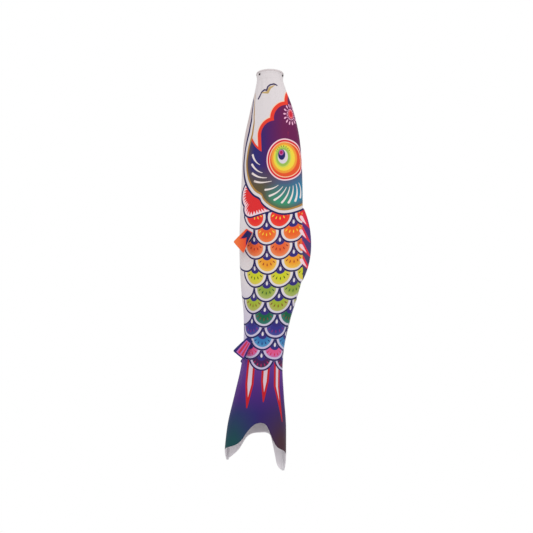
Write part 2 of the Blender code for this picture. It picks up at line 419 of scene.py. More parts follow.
# Scales, in rows from the gills to the tail: flesh, seeds, and the flesh next to the rim.
SCALE_ROWS = (
    (rgb(234, 46, 44), rgb(252, 214, 66), rgb(240, 70, 50)),
    (rgb(240, 98, 36), rgb(254, 214, 60), rgb(240, 130, 70)),
    (rgb(234, 100, 52), rgb(150, 30, 34), rgb(238, 140, 92)),
    (rgb(240, 156, 44), rgb(150, 36, 36), rgb(240, 196, 84)),
    (rgb(206, 208, 40), rgb(56, 72, 30), rgb(222, 196, 96)),
    (rgb(142, 166, 62), rgb(30, 84, 44), rgb(176, 186, 110)),
    (rgb(160, 178, 52), rgb(128, 54, 34), rgb(180, 176, 100)),
    (rgb(22, 96, 66), rgb(120, 70, 54), rgb(56, 120, 110)),
    (rgb(52, 50, 132), rgb(130, 40, 120), rgb(74, 76, 150)),
    (rgb(52, 118, 176), rgb(38, 36, 108), rgb(84, 150, 196)),
    (rgb(222, 84, 136), rgb(206, 30, 64), rgb(196, 110, 170)),
    (rgb(70, 26, 82), rgb(178, 24, 88), rgb(66, 50, 74)),
)
SCALE_PITCH = 0.0650
ROW_PITCH, ROW_CLOSING = 0.0394, 0.00069   # the rows lie closer towards the tail
FIRST_ROW, FIRST_COLUMN = 0.3805, 0.0342   # middle of the scale behind the gills
SCALE_OUTLINE, SCALE_WHITE, SCALE_FLESH = 0.0338, 0.0295, 0.0236
NECK_DOWN, NECK = 0.0207, 0.0123           # the neck hangs from the row above
ROW_SLANT, ROW_SAG = 0.125, 3.1            # each row sags between the belly and the back
COLUMNS_MEET = 0.034                       # the column that the others draw in to
NARROW_FROM, NARROWING = 0.560, 0.35       # from here down the scales get narrower
ROW_OVERLAP = 0.009
SEED_STEP = 0.40                           # angle from one seed to the next
TONES = 16                                 # steps in each ramp of the rows' dyes


def print_scales(cloth):
    """Rows of overlapping round scales, each with a white rim, flesh, seeds and a neck."""
    behind = (cloth.down - NARROW_FROM).most(0.0)
    across = (cloth.across - COLUMNS_MEET) * (behind * NARROWING + 1.0) + COLUMNS_MEET
    sag = cloth.across * ROW_SLANT - cloth.across * cloth.across * ROW_SAG
    down = cloth.down - FIRST_ROW - sag
    tightest = ROW_PITCH / (2 * ROW_CLOSING)
    left = tightest**2 - (down - ROW_OVERLAP) * (1 / ROW_CLOSING)
    row_at = tightest - left.work("SQRT", left)
    row = row_at.work("FLOOR", row_at).most(0.0)
    odd = row.work("PINGPONG", row, 1.0)

    def from_column(shift):
        """Signed distance across to the nearest scale's middle in a row."""
        cell = (across - FIRST_COLUMN) / SCALE_PITCH + shift * 0.5
        return (cell - cell.work("ROUND", cell)) * SCALE_PITCH

    def middle_of(row):
        return row * (ROW_PITCH - row * ROW_CLOSING)

    def length(a, b):
        return a.work("SQRT", a * a + b * b)

    def row_dyes(which):
        return [(k / TONES, dyes[which]) for k, dyes in enumerate(SCALE_ROWS)]

    # A point lies on the scale whose row it is in or, outside that scale, on the next row's.
    beside, beside_next = from_column(odd), from_column(1.0 - odd)
    own = length(beside, down - middle_of(row)).under(SCALE_OUTLINE, 0.0003)
    side = beside_next + (beside - beside_next) * own
    own_row = row + 1.0 - own
    fall = down - middle_of(own_row)
    tone = own_row.work("MULTIPLY_ADD", own_row, 1 / TONES, 0.5 / TONES)
    reach = length(side, fall)
    flesh_reach = length(side, fall - 0.0012)
    below_neck = down - middle_of(own_row - 1.0) - NECK_DOWN
    from_neck = length(side, below_neck)
    turn = side.work("ARCTAN2", side, below_neck)

    flesh = cloth.steps(tone, row_dyes(0))
    ripe = cloth.steps(tone, row_dyes(2))
    scales = Print(cloth.tree, cloth.blend(flesh, ripe, flesh_reach.over(0.0185, 0.013)))
    nearest = (turn - turn.work("ROUND", turn / SEED_STEP) * SEED_STEP) * from_neck
    along = from_neck - 0.0232
    seed = length(nearest / (0.0012 + along * 0.12), along / 0.0038)
    seeds = seed.under(1.0, 0.45) * turn.work("ABSOLUTE", turn).under(1.0, 0.02)
    scales.lay(cloth.steps(tone, row_dyes(1)), seeds)
    rim = scales.blend(OFF_WHITE, rgb(196, 186, 216), down.over(0.24, 0.16))
    scales.lay(rim, flesh_reach.over(SCALE_FLESH, 0.0008))
    plain = (across - side).under(-0.045, 0.001)
    scales.lay(rim, plain)
    scales.lay(NAVY, from_neck.under(NECK).most(below_neck.under(0.0))
               * (1.0 - plain) * reach.under(SCALE_OUTLINE))
    scales.lay(DEEP_NAVY, reach.over(SCALE_WHITE))
    dewdrop = length(side / (0.0025 + (below_neck + 0.0010) * 0.15), (below_neck + 0.0010) / 0.0052)
    scales.lay(OFF_WHITE, dewdrop.under(1.0, 0.2) * (1.0 - plain))
    last_row = len(SCALE_ROWS) - 1
    reached = own_row.over(1.5, 0.01).most(reach.under(SCALE_OUTLINE)).most(across.over(-0.030))
    reached = reached * own_row.under(last_row + 0.5, 0.01)
    last = (1.0 - own_row.over(last_row - 0.5, 0.01)).most(reach.under(SCALE_OUTLINE))
    edge = own_row.over(last_row - 1.5, 0.01) * 0.035 - 0.078
    printed = (across - side - edge).over(0.0, 0.001)
    cloth.lay(scales.colour, reached * last * printed)


def print_tail(cloth):
    """Purple fading to indigo and dark green, with red-edged white rays."""
    down = (cloth.down - 0.74) / 0.26
    base = cloth.steps(down, [(0.0, rgb(100, 56, 140)), (0.25, rgb(80, 36, 120)),
                              (0.5, rgb(48, 28, 106)), (0.8, rgb(36, 26, 92))], smooth=True)
    low = cloth.down.over(0.885, 0.11)
    base = cloth.blend(base, rgb(20, 72, 76), low * cloth.across.under(-0.020, 0.06))
    base = cloth.blend(base, rgb(70, 44, 54), cloth.down.over(0.875, 0.12)
                       * cloth.across.over(0.026, 0.06))
    cloth.lay(base, (cloth.down + cloth.across * 0.06).over(0.7150, 0.0005))
    for path, widths in (
        (((-0.0200, 0.730), (-0.0215, 0.796), (-0.0255, 0.855)), (0.0100, 0.0098, 0.0014)),
        (((0.0165, 0.730), (0.0150, 0.790), (0.0135, 0.841)), (0.0100, 0.0092, 0.0014)),
        (((0.0430, 0.730), (0.0445, 0.802), (0.0620, 0.887)), (0.0090, 0.0080, 0.0010)),
    ):
        ray = cloth.stroke(path[0], path[1], widths[0], widths[1])
        ray = ray.least(cloth.stroke(path[1], path[2], widths[1], widths[2]))
        cloth.lay(rgb(190, 24, 36), ray.under(0.0))
        cloth.lay(rgb(214, 194, 206), ray.under(-0.0050))


FIN_ROOT = 0.0900


def print_back_fin(cloth):
    """Red and slate flames on the fin that is cut in one with the back."""
    fin = cloth.across.over(FIN_ROOT) * cloth.down.between(0.345, 0.552)
    depth = (cloth.down - 0.35) / 0.20
    base = cloth.steps(depth, [(0.0, rgb(214, 40, 52)), (0.14, rgb(222, 44, 62)),
                               (0.24, rgb(92, 44, 120)), (0.45, rgb(80, 58, 120)),
                               (0.70, rgb(74, 66, 102)), (1.0, rgb(66, 66, 92))], smooth=True)
    cloth.lay(base, fin)
    tips = (0.397, 0.432, 0.469, 0.506)
    for tip in tips:
        flame = cloth.stroke((0.086, tip - 0.022), (0.1085, tip + 0.012), 0.0082, 0.0010)
        cloth.lay(rgb(224, 48, 70), flame.under(0.0, 0.0012) * fin)
    for tip in tips:
        core = cloth.stroke((0.0870, tip - 0.0165), (0.0995, tip + 0.001), 0.0046, 0.0002)
        cloth.lay(PINK_WHITE, core.under(0.0))


def print_side_fin(cloth, gill):
    """The printed breast fin behind the gill cover, red with a flame-toothed pale edge."""
    edge = cloth.disc((-0.0300, 0.3170), 0.0445)
    edge = edge.least(cloth.stroke((-0.0385, 0.3500), (0.0120, 0.3440), 0.0282, 0.0282))
    beside, below = cloth.across + 0.0200, cloth.down - 0.3200
    turn = beside.work("ARCTAN2", below, beside)
    teeth = turn.work("FRACT", turn * 6.4)
    outside = gill.under(0.0)
    cloth.lay(DEEP_NAVY, edge.under(0.0) * outside)
    cloth.lay(PINK_WHITE, edge.under(-0.0042) * outside)
    cloth.lay(RED, (edge + teeth * 0.0098).under(-0.0064) * outside)


def inside_gill_cover(cloth):
    """Distance inside the edge of the head's big curved plate, negative behind it."""
    centre = (0.040, 0.215)
    beside = cloth.across - centre[0]
    below = cloth.down - centre[1]
    turn = beside.work("ARCTAN2", below, 0.0 - beside)
    share = turn.work("MULTIPLY_ADD", turn, 1 / (2 * math.pi), 0.5)
    reach = beside.work("SQRT", beside * beside + below * below)
    outline = (
        (-0.040, -0.060), (-0.040, 0.010), (-0.0405, 0.070), (-0.0415, 0.106), (-0.045, 0.142),
        (-0.052, 0.171), (-0.061, 0.200), (-0.067, 0.237), (-0.064, 0.266), (-0.057, 0.288),
        (-0.046, 0.308), (-0.034, 0.322), (-0.021, 0.331), (-0.013, 0.344), (0.002, 0.360),
        (0.018, 0.3705), (0.037, 0.377), (0.056, 0.377), (0.073, 0.3715), (0.092, 0.361),
        (0.120, 0.340), (0.160, 0.300), (0.220, 0.2151),
    )
    points = []
    for x, y in outline:
        angle = math.atan2(y - centre[1], -(x - centre[0]))
        points.append((angle / (2 * math.pi) + 0.5,
                       math.hypot(x - centre[0], y - centre[1])))
    points = [(0.0, points[0][1])] + points
    return cloth.curve(share, points) - reach


def print_cheek(cloth, inside):
    """The gill cover's ground, from plum at the top to green and blue below the eye."""
    lower = cloth.down.over(0.29, 0.09)
    ground = cloth.blend(rgb(106, 26, 80), rgb(66, 30, 106), cloth.across.under(0.016, 0.05))
    ground = cloth.blend(ground, rgb(46, 42, 112), cloth.across.under(-0.012, 0.03)
                         * cloth.down.over(0.170, 0.06))
    ground = cloth.blend(ground, rgb(70, 100, 130), cloth.down.over(0.285, 0.04)
                         * cloth.across.over(0.0, 0.05))
    ground = cloth.blend(ground, rgb(92, 84, 60), cloth.down.over(0.275, 0.05)
                         * cloth.across.under(0.012, 0.05))
    ground = cloth.blend(ground, rgb(56, 148, 110), cloth.down.over(0.325, 0.05)
                         * cloth.across.over(0.0, 0.03))
    ground = cloth.blend(ground, rgb(24, 132, 170), lower * cloth.across.over(0.066, 0.03))
    cloth.lay(ground, inside)


def print_lip(cloth, inside):
    """The scalloped edge of the mouth, scarlet with a pale line, and the white before it."""
    lip = cloth.disc((0.0190, 0.1712), 0.0440)
    lip = lip.least(cloth.disc((0.0543, 0.1310), 0.0465)).least(cloth.disc((0.085, 0.085), 0.042))
    lip = lip.least(cloth.stroke((0.0190, 0.1712), (0.0220, 0.2400), 0.0440, 0.0450))
    lip = lip.least(cloth.stroke((0.110, 0.098), (0.110, 0.300), 0.0675, 0.0675))
    jaw = cloth.disc((0.030, 0.150), 0.0725)
    mouth_side = jaw.least(cloth.down - 0.150)
    red_side = (jaw - 0.0045).least(cloth.down - 0.150)
    cloth.lay(SCARLET, lip.over(-0.0104) * red_side.under(0.0) * inside)
    cloth.lay(rgb(250, 206, 176), lip.over(-0.0012) * mouth_side.under(0.0) * inside)
    cloth.lay(OFF_WHITE, lip.over(0.0010) * mouth_side.under(0.0) * inside)


def print_flower(cloth):
    """A pink flower with fourteen petals on the forehead."""
    flower = (0.0600, 0.1200)
    radii = (0.0160, 0.0245)
    beside, below = (cloth.across - flower[0]) / radii[0], (cloth.down - flower[1]) / radii[1]
    ring = beside.work("SQRT", beside * beside + below * below)
    turn = beside.work("ARCTAN2", below, beside)
    step = 2 * math.pi / 14
    petal = (turn - turn.work("ROUND", turn / step) * step) * ring
    out = (ring - 0.97) / 0.22
    petal = (petal * petal / (0.0075 + out * 0.0050) + out * out).under(1.0, 0.3)
    cloth.lay(rgb(252, 186, 218), petal)
    heart = cloth.oval((0.0600, 0.1190), (0.0068, 0.0125))
    cloth.lay(rgb(236, 110, 120), heart.under(1.0, 0.1))
    cloth.lay(rgb(214, 36, 56), heart.under(0.66, 0.1))


def print_feathers(cloth):
    """Pale brush strokes that fan out below the eye."""
    for outer, inner in (
        ((-0.038, 0.218), (-0.019, 0.246)), ((-0.040, 0.242), (-0.012, 0.268)),
        ((-0.039, 0.265), (0.000, 0.283)), ((-0.033, 0.286), (0.012, 0.293)),
        ((-0.003, 0.313), (0.028, 0.304)), ((0.008, 0.330), (0.039, 0.308)),
        ((0.020, 0.341), (0.048, 0.310)), ((0.038, 0.348), (0.056, 0.309)),
        ((0.054, 0.349), (0.064, 0.306)), ((0.070, 0.344), (0.071, 0.301)),
        ((0.083, 0.333), (0.078, 0.297)),
    ):
        feather = cloth.stroke(outer, inner, 0.0027, 0.0007, bend=0.0035)
        cloth.lay(rgb(240, 226, 222), feather.under(0.0))


def print_gill_edge(cloth, gill):
    """The gill cover's border: a brown shade, then gold, white and navy lines."""
    gold_began, navy_began = cloth.down.over(0.058, 0.010), cloth.down.over(0.070, 0.010)
    cloth.lay(rgb(96, 80, 60), gill.under(0.021, 0.014) * gill.over(0.0) * cloth.down.over(0.19, 0.04)
              * 0.75)
    cloth.lay(GOLD, gill.between(0.0088, 0.0136, 0.0012) * gold_began)
    cloth.lay(OFF_WHITE, gill.between(0.0, 0.0090))
    cheek = cloth.down.under(0.300, 0.02) * 0.0012
    cloth.lay(DEEP_NAVY, (gill + cheek).over(-0.0026) * gill.under(0.0022) * navy_began)


def print_nostril(cloth):
    """A waved navy line with a tan shadow under it."""
    nostril = ((-0.022, 0.0755), (-0.012, 0.0605), (-0.003, 0.0555), (0.001, 0.0575),
               (0.005, 0.0485), (0.012, 0.0435), (0.019, 0.0415), (0.027, 0.0445))
    shadow = cloth.stroke((-0.012, 0.0625), (0.004, 0.0630), 0.0010, 0.0034)
    shadow = shadow.least(cloth.stroke((0.004, 0.0630), (0.010, 0.0520), 0.0034, 0.0030))
    shadow = shadow.least(cloth.stroke((0.010, 0.0520), (0.022, 0.0445), 0.0030, 0.0008))
    cloth.lay(rgb(196, 166, 112), shadow.under(0.0))
    line = None
    for start, end in zip(nostril, nostril[1:]):
        part = cloth.stroke(start, end, 0.0020, 0.0020)
        line = part if line is None else line.least(part)
    cloth.lay(rgb(58, 46, 88), line.under(0.0))


def print_eye(cloth):
    """Rings of colour round a pupil that looks up and forward."""
    outer = cloth.oval((0.0455, 0.2390), (0.0458, 0.0540))
    for edge, dye in ((1.0, rgb(250, 212, 218)), (0.940, rgb(216, 36, 48)),
                      (0.852, rgb(252, 208, 168)), (0.812, rgb(232, 84, 44))):
        cloth.lay(dye, outer.under(edge, 0.012))
    inner = cloth.oval((0.0425, 0.2345), (0.0310, 0.0395))
    for edge, dye in ((1.0, rgb(244, 158, 58)), (0.84, rgb(244, 216, 66))):
        cloth.lay(dye, inner.under(edge, 0.06))
    lid = cloth.oval((0.0395, 0.2320), (0.0186, 0.0262))
    cloth.lay(rgb(206, 214, 84), lid.under(1.06, 0.16))
    cloth.lay(rgb(156, 190, 84), lid.under(0.92, 0.1))
    beside, below = cloth.across - 0.0395, cloth.down - 0.2320
    turn = below.work("ARCTAN2", beside, 0.0 - below)
    lash = turn.work("PINGPONG", turn + 6.3, 0.11).under(0.035, 0.02)
    cloth.lay(rgb(70, 104, 60), lash * lid.between(0.98, 1.12, 0.03)
              * turn.work("ABSOLUTE", turn).under(0.95, 0.05))
    white = cloth.oval((0.0392, 0.2315), (0.0122, 0.0178))
    cloth.lay(rgb(222, 214, 222), white.under(1.0, 0.06))
    pupil = cloth.oval((0.0366, 0.2265), (0.0086, 0.0134))
    cloth.lay(rgb(36, 34, 100), pupil.under(1.0, 0.06))
    glint = cloth.oval((0.0357, 0.2210), (0.0054, 0.0070))
    cloth.lay(rgb(196, 100, 176), glint.under(1.0, 0.1))
    cloth.lay(rgb(170, 18, 86), glint.under(0.66, 0.1))


def print_head(cloth):
    """The head in front of the scales, and the breast fin just behind the gill cover."""
    gill = inside_gill_cover(cloth)
    inside = gill.over(0.0)
    print_side_fin(cloth, gill)
    print_cheek(cloth, inside)
    print_lip(cloth, inside)
    print_flower(cloth)
    print_eye(cloth)
    print_feathers(cloth)
    print_gill_edge(cloth, gill)
    print_nostril(cloth)


def fresh_material(name):
    """A material with only its shader; returns it with its tree and shader."""
    material = bpy.data.materials.new(name)
    material.use_nodes = True
    return material, material.node_tree, material.node_tree.nodes["Principled BSDF"]


def two_tone(tree, shader, share, first, second):
    """Colour a shader from one tone to another by a node's output; returns the ramp's stops."""
    ramp = tree.nodes.new("ShaderNodeValToRGB")
    ramp.color_ramp.elements[0].color = first
    ramp.color_ramp.elements[1].color = second
    tree.links.new(share, ramp.inputs[0])
    tree.links.new(ramp.outputs[0], shader.inputs["Base Color"])
    return ramp.color_ramp.elements


def emboss(tree, shader, height, strength, distance):
    """Raise the surface in a fine relief by a node's output."""
    bump = tree.nodes.new("ShaderNodeBump")
    bump.inputs["Strength"].default_value = strength
    bump.inputs["Distance"].default_value = distance
    tree.links.new(height, bump.inputs["Height"])
    tree.links.new(bump.outputs["Normal"], shader.inputs["Normal"])


WEAVE_SCALE = 620


def weave_cloth(tree, shader):
    """Fine plain weave of round threads, from the cut's own measures."""
    chart = tree.nodes.new("ShaderNodeUVMap")
    chart.uv_map = "cut"
    heights = []
    for direction in ("X", "Y"):
        threads = tree.nodes.new("ShaderNodeTexWave")
        threads.wave_type = "BANDS"
        threads.bands_direction = direction
        threads.inputs["Scale"].default_value = WEAVE_SCALE
        tree.links.new(chart.outputs["UV"], threads.inputs["Vector"])
        heights.append(threads.outputs["Fac"])
    cross = tree.nodes.new("ShaderNodeMath")
    cross.operation = "MULTIPLY"
    for height, socket in zip(heights, cross.inputs):
        tree.links.new(height, socket)
    emboss(tree, shader, cross.outputs[0], 0.25, 0.0002)


def cloth_shader(name):
    """A fresh material with a soft woven sheen; returns it with its tree and shader."""
    material, tree, shader = fresh_material(name)
    shader.inputs["Roughness"].default_value = 0.72
    shader.inputs["Specular IOR Level"].default_value = 0.22
    shader.inputs["Sheen Weight"].default_value = 0.05
    shader.inputs["Sheen Roughness"].default_value = 0.4
    return material, tree, shader


def printed_cloth():
    """White polyester, greyed near the mouth in faint blotches of painted shade, with the whole fish
    on it.
    """
    material, tree, shader = cloth_shader("printed_polyester")
    cloth = Print(tree, OFF_WHITE)
    shade_noise = tree.nodes.new("ShaderNodeTexNoise")
    shade_noise.inputs["Scale"].default_value = 22
    tree.links.new(cloth.at, shade_noise.inputs["Vector"])
    painted_shade = Measure(tree, shade_noise.outputs["Fac"]).over(0.38, 0.4)
    # Painted shade: a warm grey laid in noise blotches over the top of the body, towards the mouth.
    cloth.lay(rgb(206, 188, 188), painted_shade * cloth.down.under(0.22, 0.16) * 0.9)
    print_tail(cloth)
    print_scales(cloth)
    print_back_fin(cloth)
    head = Print(tree, cloth.colour, raised=0.0025)
    print_head(head)
    tree.links.new(head.colour, shader.inputs["Base Color"])
    weave_cloth(tree, shader)
    return material


def unprinted_cloth():
    """The back of the print: nearly white, in faint blotches."""
    material, tree, shader = cloth_shader("unprinted_polyester")
    chart = tree.nodes.new("ShaderNodeUVMap")
    chart.uv_map = "cut"
    blotches = tree.nodes.new("ShaderNodeTexNoise")
    blotches.inputs["Scale"].default_value = 18
    tree.links.new(chart.outputs["UV"], blotches.inputs["Vector"])
    two_tone(tree, shader, blotches.outputs["Fac"], rgb(242, 236, 242), rgb(254, 249, 253))
    weave_cloth(tree, shader)
    return material


def give_wall(piece, thickness, offset=-1, lining=0):
    """Cloth thickness as a live modifier; a lining of 1 gives the inside the second material."""
    wall = piece.modifiers.new("cloth", "SOLIDIFY")
    wall.thickness = thickness
    wall.offset = offset
    wall.material_offset = lining
    wall.material_offset_rim = lining


body_print = printed_cloth()
body_lining = unprinted_cloth()
for name, side in SIDES.items():
    panel = sew_panel(name, side)
    panel.data.materials.append(body_print)
    panel.data.materials.append(body_lining)
    give_wall(panel, CLOTH, lining=1)
    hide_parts("panel_front_" + name, "panel_rear_" + name)
    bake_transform(panel)

# ---------------------------------------------------------------------------
# Seams
# The two panels are sewn together inside out, so their allowances stand inside along
# the back and the belly, two layers of cloth bound by an overlock of white thread.
# ---------------------------------------------------------------------------

ALLOWANCE, ALLOWANCE_LAYER = 0.0055, 0.00045


def seam_line(end, side):
    """Points down a seam, end being 1 for the back and -1 for the belly."""
    last = FORKS[side][0 if end < 0 else -1][1]
    return [body_point(last * k / 240, end, side) for k in range(4, 241)]


def sew_allowance(name, end):
    """A thin upstanding strip inside a seam, waved a little as a sewn edge is."""
    left, right = seam_line(end, -1), seam_line(end, 1)
    bm = bmesh.new()
    bmesh.ops.create_grid(bm, x_segments=4, y_segments=len(left) - 1, size=1)
    for vert in bm.verts:
        k = round((1 - vert.co.y) / 2 * (len(left) - 1))
        seam = (left[k] + right[k]) / 2
        middle = Vector((body_section(-seam.z)[0], 0, seam.z))
        inward = (middle - seam).normalized()
        sideways = inward.cross(Vector((0, 0, 1))).normalized()
        crest = seam + inward * (ALLOWANCE + 0.0003 * math.sin(k * 0.9))
        crest += sideways * (0.0006 * math.sin(k * 0.23) + 0.0012)
        vert.co = (seam + inward * 0.0002).lerp(crest, (vert.co.x + 1) / 2)
    strip = cloth_object(name, bm)
    strip.data.materials.append(overlocked_edge)
    give_wall(strip, 2 * ALLOWANCE_LAYER, offset=0)
    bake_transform(strip)
    return strip


def overlock_thread():
    """Pale cloth crossed by slightly uneven threads, by height on the streamer, with painted shade in
    the grooves between the threads.
    """
    material, tree, shader = cloth_shader("overlocked_edge")
    spot = tree.nodes.new("ShaderNodeTexCoord")
    threads = tree.nodes.new("ShaderNodeTexWave")
    threads.bands_direction = "Z"
    threads.inputs["Scale"].default_value = 130
    threads.inputs["Distortion"].default_value = 1.5
    tree.links.new(spot.outputs["Object"], threads.inputs["Vector"])
    # Painted shade: the bands that raise the threads also darken the colour in the grooves between
    # them.
    two_tone(tree, shader, threads.outputs["Fac"], rgb(196, 190, 198), rgb(246, 244, 246))
    emboss(tree, shader, threads.outputs["Fac"], 0.5, 0.0003)
    return material


overlocked_edge = overlock_thread()
allowances = [sew_allowance("back_seam_allowance", 1), sew_allowance("belly_seam_allowance", -1)]

# ---------------------------------------------------------------------------
# Mouth hem
# The top edge of the cloth is turned in over a flat white hoop and stitched down below
# it, so that the hoop sits in a casing and holds the mouth open.
# ---------------------------------------------------------------------------

FOLD_OUTSIDE, FOLD_INSIDE = 0.03285, 0.02945
HEM_LENGTH = 0.024
HEM_WALL = 0.0004
HEM_STITCHES = (0.0085, 0.0222)


def spin_profile(profile, steps):
    """A closed (radius, height) outline turned round the Z axis."""
    bm = bmesh.new()
    loop = [bm.verts.new((radius, 0, height)) for radius, height in profile]
    edges = [bm.edges.new((loop[k - 1], loop[k])) for k in range(len(loop))]
    bmesh.ops.spin(bm, geom=loop + edges, axis=(0, 0, 1), cent=(0, 0, 0),
                   angle=2 * math.pi, steps=steps, use_merge=True)
    bmesh.ops.remove_doubles(bm, verts=bm.verts, dist=1e-6)
    bmesh.ops.recalc_face_normals(bm, faces=bm.faces)
    return bm


def turn_hem():
    """The folded edge: rolled over the hoop outside, with a longer facing inside."""
    middle, radius = (FOLD_OUTSIDE + FOLD_INSIDE) / 2, (FOLD_OUTSIDE - FOLD_INSIDE) / 2
    outside = [(0.03262, -0.0046), (0.03288, -0.0044)]
    over = [(middle + radius * math.cos(a), -radius + radius * math.sin(a))
            for a in (math.pi * k / 12 for k in range(13))]
    inner = radius - HEM_WALL
    inside = [(FOLD_INSIDE - 0.0001 * (k % 2), -radius - (HEM_LENGTH - radius) * k / 16)
              for k in range(1, 17)]
    back = [(r + HEM_WALL, z) for r, z in reversed(inside)]
    under = [(middle + inner * math.cos(a), -radius + inner * math.sin(a))
             for a in (math.pi * k / 12 for k in range(12, -1, -1))]
    bm = spin_profile(outside + over + inside + back + under, 144)
    for vert in bm.verts:
        turn = math.atan2(vert.co.y, vert.co.x)
        soft = 0.00012 * math.sin(17 * turn + 3) + 0.0001 * math.sin(31 * turn)
        low = ease(-vert.co.z, 0.008, HEM_LENGTH) * 0.0004 * math.sin(9 * turn)
        flat = Vector((vert.co.x, vert.co.y, 0)).normalized()
        vert.co += flat * (soft + low)
        if vert.co.z > -0.004:
            vert.co.z += 0.00015 * math.sin(13 * turn) - 0.00015
    bm.normal_update()
    for where in EYELETS:
        punch(bm, *eyelet_place(where), EYELET_HOLE)
    return cloth_object("mouth_hem", bm)


def hem_cloth():
    """The same white woven cloth, unprinted, with soft creases shown as painted shade in its colour.
    """
    material, tree, shader = cloth_shader("hem_polyester")
    spot = tree.nodes.new("ShaderNodeTexCoord")
    crease_shade = tree.nodes.new("ShaderNodeTexNoise")
    crease_shade.inputs["Scale"].default_value = 90
    tree.links.new(spot.outputs["Object"], crease_shade.inputs["Vector"])
    # Painted shade: the noise darkens the cloth's colour in soft blotches that stand in for creases.
    two_tone(tree, shader, crease_shade.outputs["Fac"], rgb(208, 196, 197), rgb(226, 217, 219))
    weave = tree.nodes.new("ShaderNodeTexWave")
    weave.bands_direction = "Z"
    weave.inputs["Scale"].default_value = WEAVE_SCALE
    tree.links.new(spot.outputs["Object"], weave.inputs["Vector"])
    emboss(tree, shader, weave.outputs["Fac"], 0.3, 0.0002)
    return material


hem = turn_hem()
hem.data.materials.append(hem_cloth())
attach(hem, "front_body")
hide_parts("mouth_facing")


def sewing_thread():
    """Twisted white polyester thread."""
    material, tree, shader = fresh_material("white_thread")
    shader.inputs["Roughness"].default_value = 0.55
    spot = tree.nodes.new("ShaderNodeTexCoord")
    twist = tree.nodes.new("ShaderNodeTexNoise")
    twist.inputs["Scale"].default_value = 900
    tree.links.new(spot.outputs["Object"], twist.inputs["Vector"])
    two_tone(tree, shader, twist.outputs["Fac"], rgb(196, 188, 192), rgb(244, 240, 242))
    return material


STITCH_RADIUS, STITCH_PITCH = 0.00016, 0.0026


def run_of_stitches(name, path, pitch):
    """Short sunk stitches along a path of (point, outward) pairs, with gaps between."""
    bm = bmesh.new()
    lengths = [0.0]
    for (before, _), (after, _) in zip(path, path[1:]):
        lengths.append(lengths[-1] + (after - before).length)

    def at(distance):
        k = max(i for i in range(len(path) - 1) if lengths[i] <= distance)
        share = (distance - lengths[k]) / (lengths[k + 1] - lengths[k])
        return (path[k][0].lerp(path[k + 1][0], share), path[k][1].lerp(path[k + 1][1], share))

    count = int(lengths[-1] / pitch)
    for k in range(count):
        rings = []
        for t in range(5):
            along_run = (k + 0.12 + 0.76 * t / 4) * pitch
            point, out = at(along_run)
            after, _ = at(min(along_run + 1e-4, lengths[-1] * 0.9999))
            along = (after - point).normalized()
            aside = along.cross(out).normalized()
            raised = out.normalized() * (0.00022 * math.sin(math.pi * t / 4) - 0.00004)
            radius = STITCH_RADIUS * (0.55 + 0.45 * math.sin(math.pi * t / 4))
            rings.append([bm.verts.new(point + raised + radius * (
                aside * math.cos(a) + out.normalized() * math.sin(a)))
                for a in (math.pi * 2 * j / 6 for j in range(6))])
        for before, after in zip(rings, rings[1:]):
            for j in range(6):
                bm.faces.new((before[j - 1], before[j], after[j], after[j - 1]))
        bm.faces.new(rings[0])
        bm.faces.new(list(reversed(rings[-1])))
    bmesh.ops.recalc_face_normals(bm, faces=bm.faces)
    return cloth_object(name, bm)


def round_the_mouth(depth):
    """Points and outward directions on the panels' outside, once round the mouth."""
    path = []
    for side, shares in ((-1, range(-40, 40)), (1, range(40, -41, -1))):
        for k in shares:
            across = 0.998 * k / 40
            point = body_point(depth, across, side)
            out = Vector((point.x - body_section(depth)[0], point.y, 0)).normalized()
            path.append((point + out * (slack(depth, across, side) + 0.00005), out))
    return path


thread = sewing_thread()
for number, depth in enumerate(HEM_STITCHES, 1):
    row = run_of_stitches(f"hem_stitches_{number}", round_the_mouth(depth), STITCH_PITCH)
    row.data.materials.append(thread)
    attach(row, "front_body")


def hoop_plastic():
    """Extruded white band, with faint lines along it."""
    material, tree, shader = fresh_material("white_band")
    shader.inputs["Base Color"].default_value = rgb(222, 222, 216)
    shader.inputs["Roughness"].default_value = 0.4
    spot = tree.nodes.new("ShaderNodeTexCoord")
    lines = tree.nodes.new("ShaderNodeTexWave")
    lines.bands_direction = "Z"
    lines.inputs["Scale"].default_value = 260
    tree.links.new(spot.outputs["Object"], lines.inputs["Vector"])
    emboss(tree, shader, lines.outputs["Fac"], 0.15, 0.0001)
    return material


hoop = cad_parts["mouth_hoop"]
hoop.data.materials.clear()
hoop.data.materials.append(hoop_plastic())

# ---------------------------------------------------------------------------
# Eyelets
# Three small dark-plated brass eyelets for the strings, each rolled over a washer on
# the inside of the hem.
# ---------------------------------------------------------------------------


def plated_brass():
    """Dark nickel plate, worn brighter in small random patches."""
    material, tree, shader = fresh_material("dark_plate")
    shader.inputs["Metallic"].default_value = 1.0
    spot = tree.nodes.new("ShaderNodeTexCoord")
    wear = tree.nodes.new("ShaderNodeTexNoise")
    wear.inputs["Scale"].default_value = 700
    wear.inputs["Detail"].default_value = 4
    tree.links.new(spot.outputs["Object"], wear.inputs["Vector"])
    tones = two_tone(tree, shader, wear.outputs["Fac"], rgb(70, 66, 70), rgb(128, 120, 112))
    tones[0].position = 0.45
    tones[1].position = 0.75
    rough = tree.nodes.new("ShaderNodeMapRange")
    rough.inputs["To Min"].default_value = 0.28
    rough.inputs["To Max"].default_value = 0.5
    tree.links.new(wear.outputs["Fac"], rough.inputs["Value"])
    tree.links.new(rough.outputs[0], shader.inputs["Roughness"])
    return material


EYELET_BORE, EYELET_FLANGE = 0.0014, 0.0028
EYELET_FACE, EYELET_END = 0.0327, 0.0280   # from the middle of the mouth
EYELET_WALL = 0.0003


def point_outwards(bm, where):
    """Turn a piece spun round Z to face out of the hem at its eyelet's place."""
    bmesh.ops.transform(bm, verts=bm.verts, matrix=(
        Matrix.Translation((0, 0, -EYELET_DEPTH))
        @ Matrix.Rotation(EYELETS[where], 4, "Z")
        @ Matrix.Rotation(math.pi / 2, 4, "Y")))


